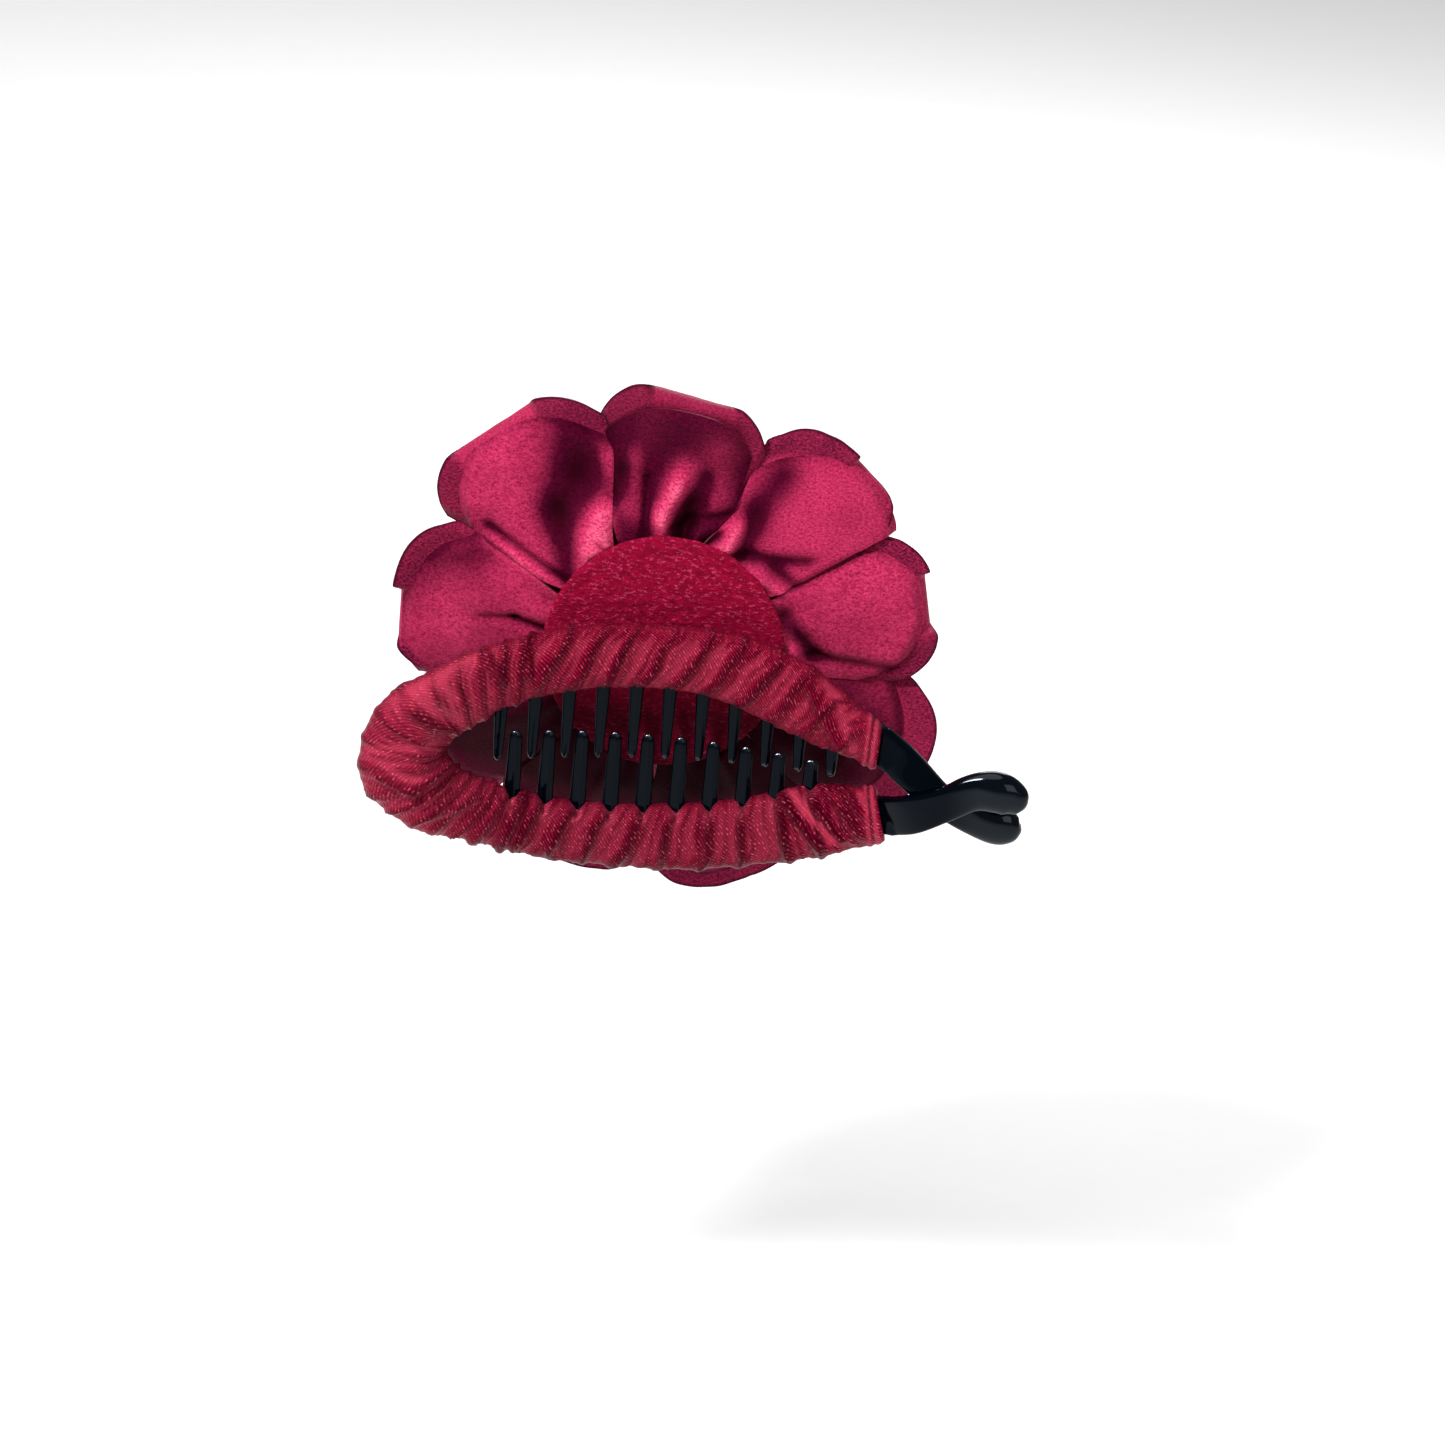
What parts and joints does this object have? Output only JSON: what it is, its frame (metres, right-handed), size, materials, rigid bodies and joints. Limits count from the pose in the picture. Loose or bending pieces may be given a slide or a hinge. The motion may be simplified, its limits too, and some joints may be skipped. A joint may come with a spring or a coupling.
{
  "type": "flower hair clip",
  "caption": "Hinged banana hair clip with interleaving comb teeth, crossed thumb tails, gathered satin sleeves and a large layered satin flower on its upper arm",
  "frame": {"origin": "centre of the opening between the two arms, where the hair is held, halfway along the arch", "axes": "+X from the hinge to the thumb tails, +Y from the head out through the flower, +Z from the lower arm to the upper arm that carries the flower"},
  "size_m": [0.1306, 0.056, 0.1039],
  "materials": {
    "gloss_black": "glossy, near black with a navy cast",
    "pin_steel": "plain steel",
    "ruched_ribbon": "crimson satin ribbon, gathered, with a fine twill sparkle",
    "glue": "hot-melt glue",
    "velvet": "crimson velvet with a short lying pile",
    "satin": "crimson satin, soft sheen, sealed dark edges"
  },
  "bodies": {
    "flower_arm": {"upper_arm": "gloss_black", "hinge_pin": "pin_steel", "sleeve_upper": "ruched_ribbon", "hem_upper": "ruched_ribbon", "sleeve_hinge": "ruched_ribbon", "glue_pad": "glue", "backing_disc": "velvet", "petal_back_1": "satin", "petal_back_2": "satin", "petal_back_3": "satin", "petal_back_4": "satin", "petal_back_5": "satin", "petal_back_6": "satin", "petal_back_7": "satin", "petal_back_8": "satin", "petal_back_9": "satin", "petal_outer_1": "satin", "petal_outer_2": "satin", "petal_outer_3": "satin", "petal_outer_4": "satin", "petal_outer_5": "satin", "petal_outer_6": "satin", "petal_outer_7": "satin", "petal_outer_8": "satin", "petal_outer_9": "satin", "petal_middle_1": "satin", "petal_middle_2": "satin", "petal_middle_3": "satin", "petal_middle_4": "satin", "petal_middle_5": "satin", "petal_middle_6": "satin", "petal_middle_7": "satin", "petal_inner_1": "satin", "petal_inner_2": "satin", "petal_inner_3": "satin", "petal_inner_4": "satin", "petal_inner_5": "satin", "petal_heart_1": "satin", "petal_heart_2": "satin", "petal_heart_3": "satin", "bud": "satin"},
    "lower_arm": {"lower_arm": "gloss_black", "sleeve_lower": "ruched_ribbon", "hem_lower": "ruched_ribbon"}
  },
  "joints": [
    {"name": "arm_hinge", "type": "hinge", "parent": "flower_arm", "child": "lower_arm", "pos_m": [-0.053, -0.0134, 0], "axis": [0, 1, 0], "range_deg": [0, 70], "deforming": ["sleeve_hinge"]}
  ]
}
